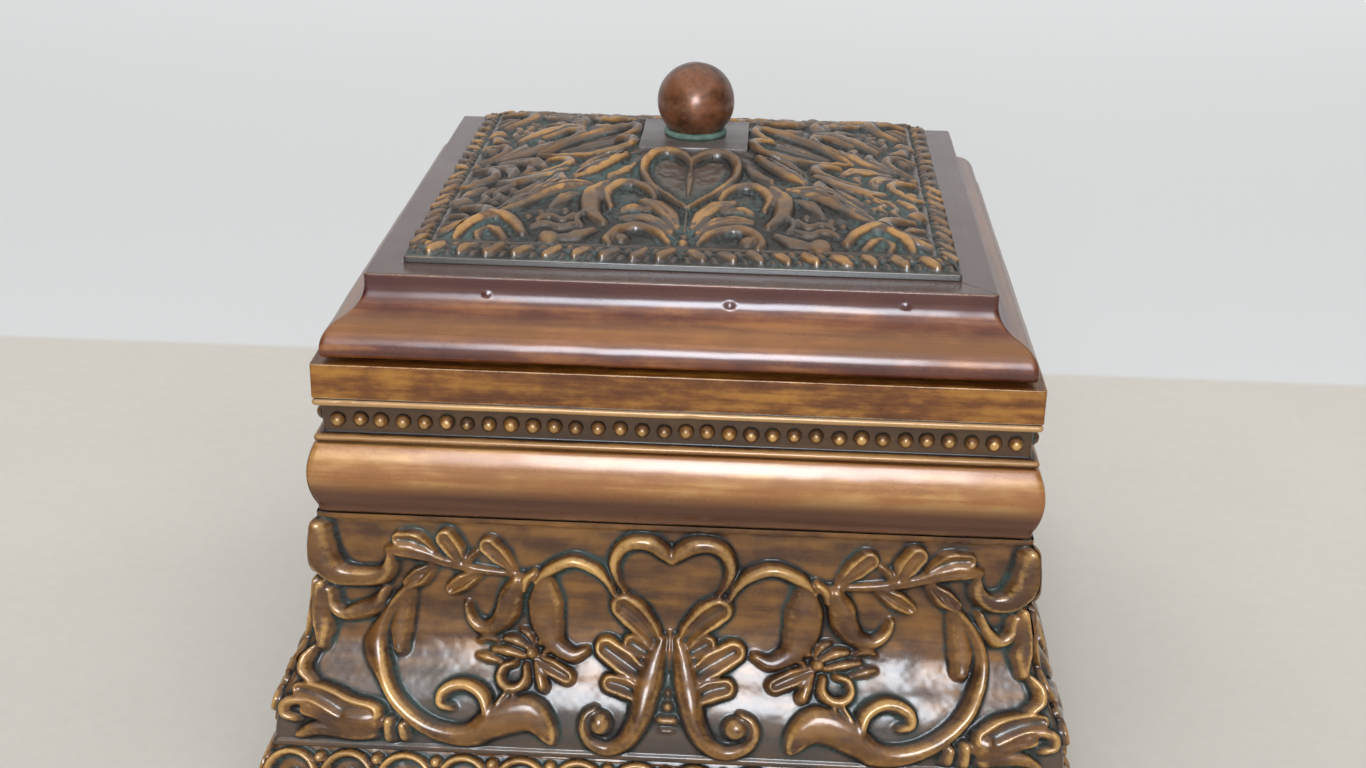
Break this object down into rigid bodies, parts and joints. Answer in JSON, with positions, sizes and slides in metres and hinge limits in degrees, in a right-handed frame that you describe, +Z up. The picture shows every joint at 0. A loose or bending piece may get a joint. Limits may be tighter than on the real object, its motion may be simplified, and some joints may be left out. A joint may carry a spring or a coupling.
{
  "type": "silverware chest",
  "caption": "Square casket with flared carved sides, beaded rim and egg-and-dart base; its moulded lid lifts off by a ball knob on a low carved hip.",
  "frame": {"origin": "centre of the underside of the base felt, on the surface that the chest stands on", "axes": "+Z up through the knob, -Y towards the front of the picture, +X to its right"},
  "size_m": [0.2754, 0.2754, 0.2334],
  "materials": {
    "antique_copper": "satin",
    "gilt_bronze": "satin",
    "mottled_bronze": "satin",
    "mahogany_copper": "gloss",
    "verdigris_bronze": "satin",
    "carcass_wood": "satin",
    "felt": "matte",
    "brass": "satin",
    "steel": "satin"
  },
  "bodies": {
    "box": {"base_moulding_front": "antique_copper", "base_moulding_right": "antique_copper", "base_moulding_back": "antique_copper", "base_moulding_left": "antique_copper", "egg_and_dart_front": "gilt_bronze", "egg_and_dart_right": "gilt_bronze", "egg_and_dart_back": "gilt_bronze", "egg_and_dart_left": "gilt_bronze", "flared_panel_front": "antique_copper", "flared_panel_right": "antique_copper", "flared_panel_back": "antique_copper", "flared_panel_left": "antique_copper", "scrollwork_front": "gilt_bronze", "scrollwork_right": "gilt_bronze", "scrollwork_back": "gilt_bronze", "scrollwork_left": "gilt_bronze", "torus_moulding_front": "antique_copper", "torus_moulding_right": "antique_copper", "torus_moulding_back": "antique_copper", "torus_moulding_left": "antique_copper", "rim_moulding_front": "mottled_bronze", "rim_moulding_right": "mottled_bronze", "rim_moulding_back": "mottled_bronze", "rim_moulding_left": "mottled_bronze", "rim_beads_front": "gilt_bronze", "rim_beads_right": "gilt_bronze", "rim_beads_back": "gilt_bronze", "rim_beads_left": "gilt_bronze", "wall_board_front": "carcass_wood", "wall_board_right": "carcass_wood", "wall_board_back": "carcass_wood", "wall_board_left": "carcass_wood", "bottom_board": "carcass_wood", "bottom_screws": "steel", "base_felt": "felt", "floor_lining": "felt", "wall_lining": "felt"},
    "lid": {"lid_moulding_front": "mahogany_copper", "lid_moulding_right": "mahogany_copper", "lid_moulding_back": "mahogany_copper", "lid_moulding_left": "mahogany_copper", "lid_lip_front": "carcass_wood", "lid_lip_right": "carcass_wood", "lid_lip_back": "carcass_wood", "lid_lip_left": "carcass_wood", "top_border_front": "gilt_bronze", "top_border_right": "gilt_bronze", "top_border_back": "gilt_bronze", "top_border_left": "gilt_bronze", "lid_board": "carcass_wood", "lid_lining": "felt", "carved_top": "antique_copper", "top_scrollwork": "gilt_bronze", "knob_plinth": "antique_copper", "knob_collar": "verdigris_bronze", "knob_ball": "mahogany_copper", "knob_insert": "brass", "knob_screw": "steel", "knob_washer": "steel"}
  },
  "joints": [
    {"name": "lid_lift", "type": "slide", "parent": "box", "child": "lid", "axis": [0, 0, 1], "range_m": [0, 0.06]}
  ]
}
